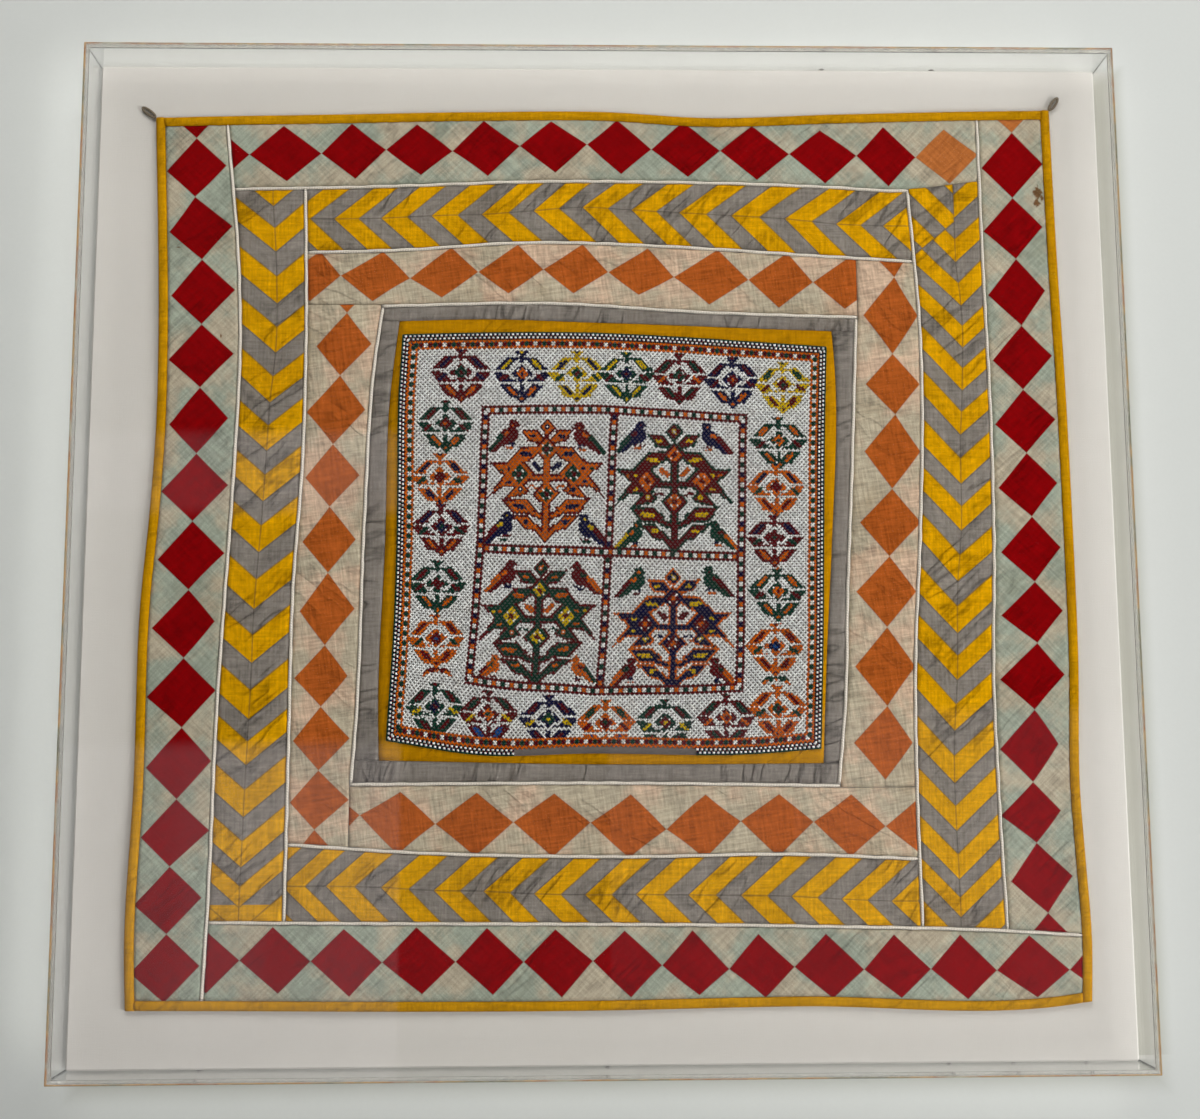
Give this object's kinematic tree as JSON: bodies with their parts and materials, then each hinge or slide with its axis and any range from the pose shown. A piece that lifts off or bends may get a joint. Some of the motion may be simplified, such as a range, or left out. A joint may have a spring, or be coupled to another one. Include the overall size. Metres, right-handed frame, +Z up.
{
  "type": "beaded textile in acrylic box frame",
  "caption": "Square beaded and pieced cloth with piped borders, mounted on a linen-covered board inside a shallow clear acrylic box that hangs on a wall.",
  "frame": {"origin": "middle of the back face of the mounting board, which lies on the wall", "axes": "+Z up, the beaded face looks along -Y, +X to the right as seen from the front"},
  "size_m": [0.866, 0.05, 0.847],
  "materials": {
    "clear_acrylic": "clear polished acrylic, its cut edges glowing warm",
    "linen_board": "pale linen stretched over a board",
    "red_cotton": "deep red cotton with grey-green diamond patches",
    "binding_cotton": "yellow cotton folded over the edge",
    "chevron_cotton": "yellow and grey cotton pieced in chevrons",
    "rust_cotton": "rust and cream cotton pieced in diamonds",
    "grey_cotton": "grey-brown cotton",
    "yellow_cotton": "yellow cotton with a fine upright weave",
    "beadwork": "netted glass beads, white with coloured figures",
    "piping_cord": "white cotton-covered cord",
    "loop_thread": "brown stitched thread",
    "screw_steel": "small plain steel screw"
  },
  "bodies": {
    "root": {"bead_panel": "beadwork", "binding_bottom": "binding_cotton", "binding_left": "binding_cotton", "binding_right": "binding_cotton", "binding_top": "binding_cotton", "bottom_wall": "clear_acrylic", "chevron_border_bottom": "chevron_cotton", "chevron_border_left": "chevron_cotton", "chevron_border_right": "chevron_cotton", "chevron_border_top": "chevron_cotton", "corner_loop_left": "loop_thread", "corner_loop_right": "loop_thread", "front_panel": "clear_acrylic", "grey_band_bottom": "grey_cotton", "grey_band_left": "grey_cotton", "grey_band_right": "grey_cotton", "grey_band_top": "grey_cotton", "left_wall": "clear_acrylic", "mount_board": "linen_board", "piping_border_bottom": "piping_cord", "piping_border_left": "piping_cord", "piping_border_right": "piping_cord", "piping_border_top": "piping_cord", "piping_chevron_bottom": "piping_cord", "piping_chevron_left": "piping_cord", "piping_chevron_right": "piping_cord", "piping_chevron_top": "piping_cord", "piping_rust_bottom": "piping_cord", "piping_rust_left": "piping_cord", "piping_rust_right": "piping_cord", "piping_rust_top": "piping_cord", "red_border_bottom": "red_cotton", "red_border_left": "red_cotton", "red_border_right": "red_cotton", "red_border_top": "red_cotton", "right_wall": "clear_acrylic", "rust_border_bottom": "rust_cotton", "rust_border_left": "rust_cotton", "rust_border_right": "rust_cotton", "rust_border_top": "rust_cotton", "top_wall": "clear_acrylic", "wall_screw_1": "screw_steel", "wall_screw_2": "screw_steel", "wall_screw_3": "screw_steel", "wall_screw_4": "screw_steel", "wall_screw_5": "screw_steel", "wall_screw_6": "screw_steel", "wall_screw_7": "screw_steel", "yellow_ground": "yellow_cotton"}
  },
  "joints": []
}
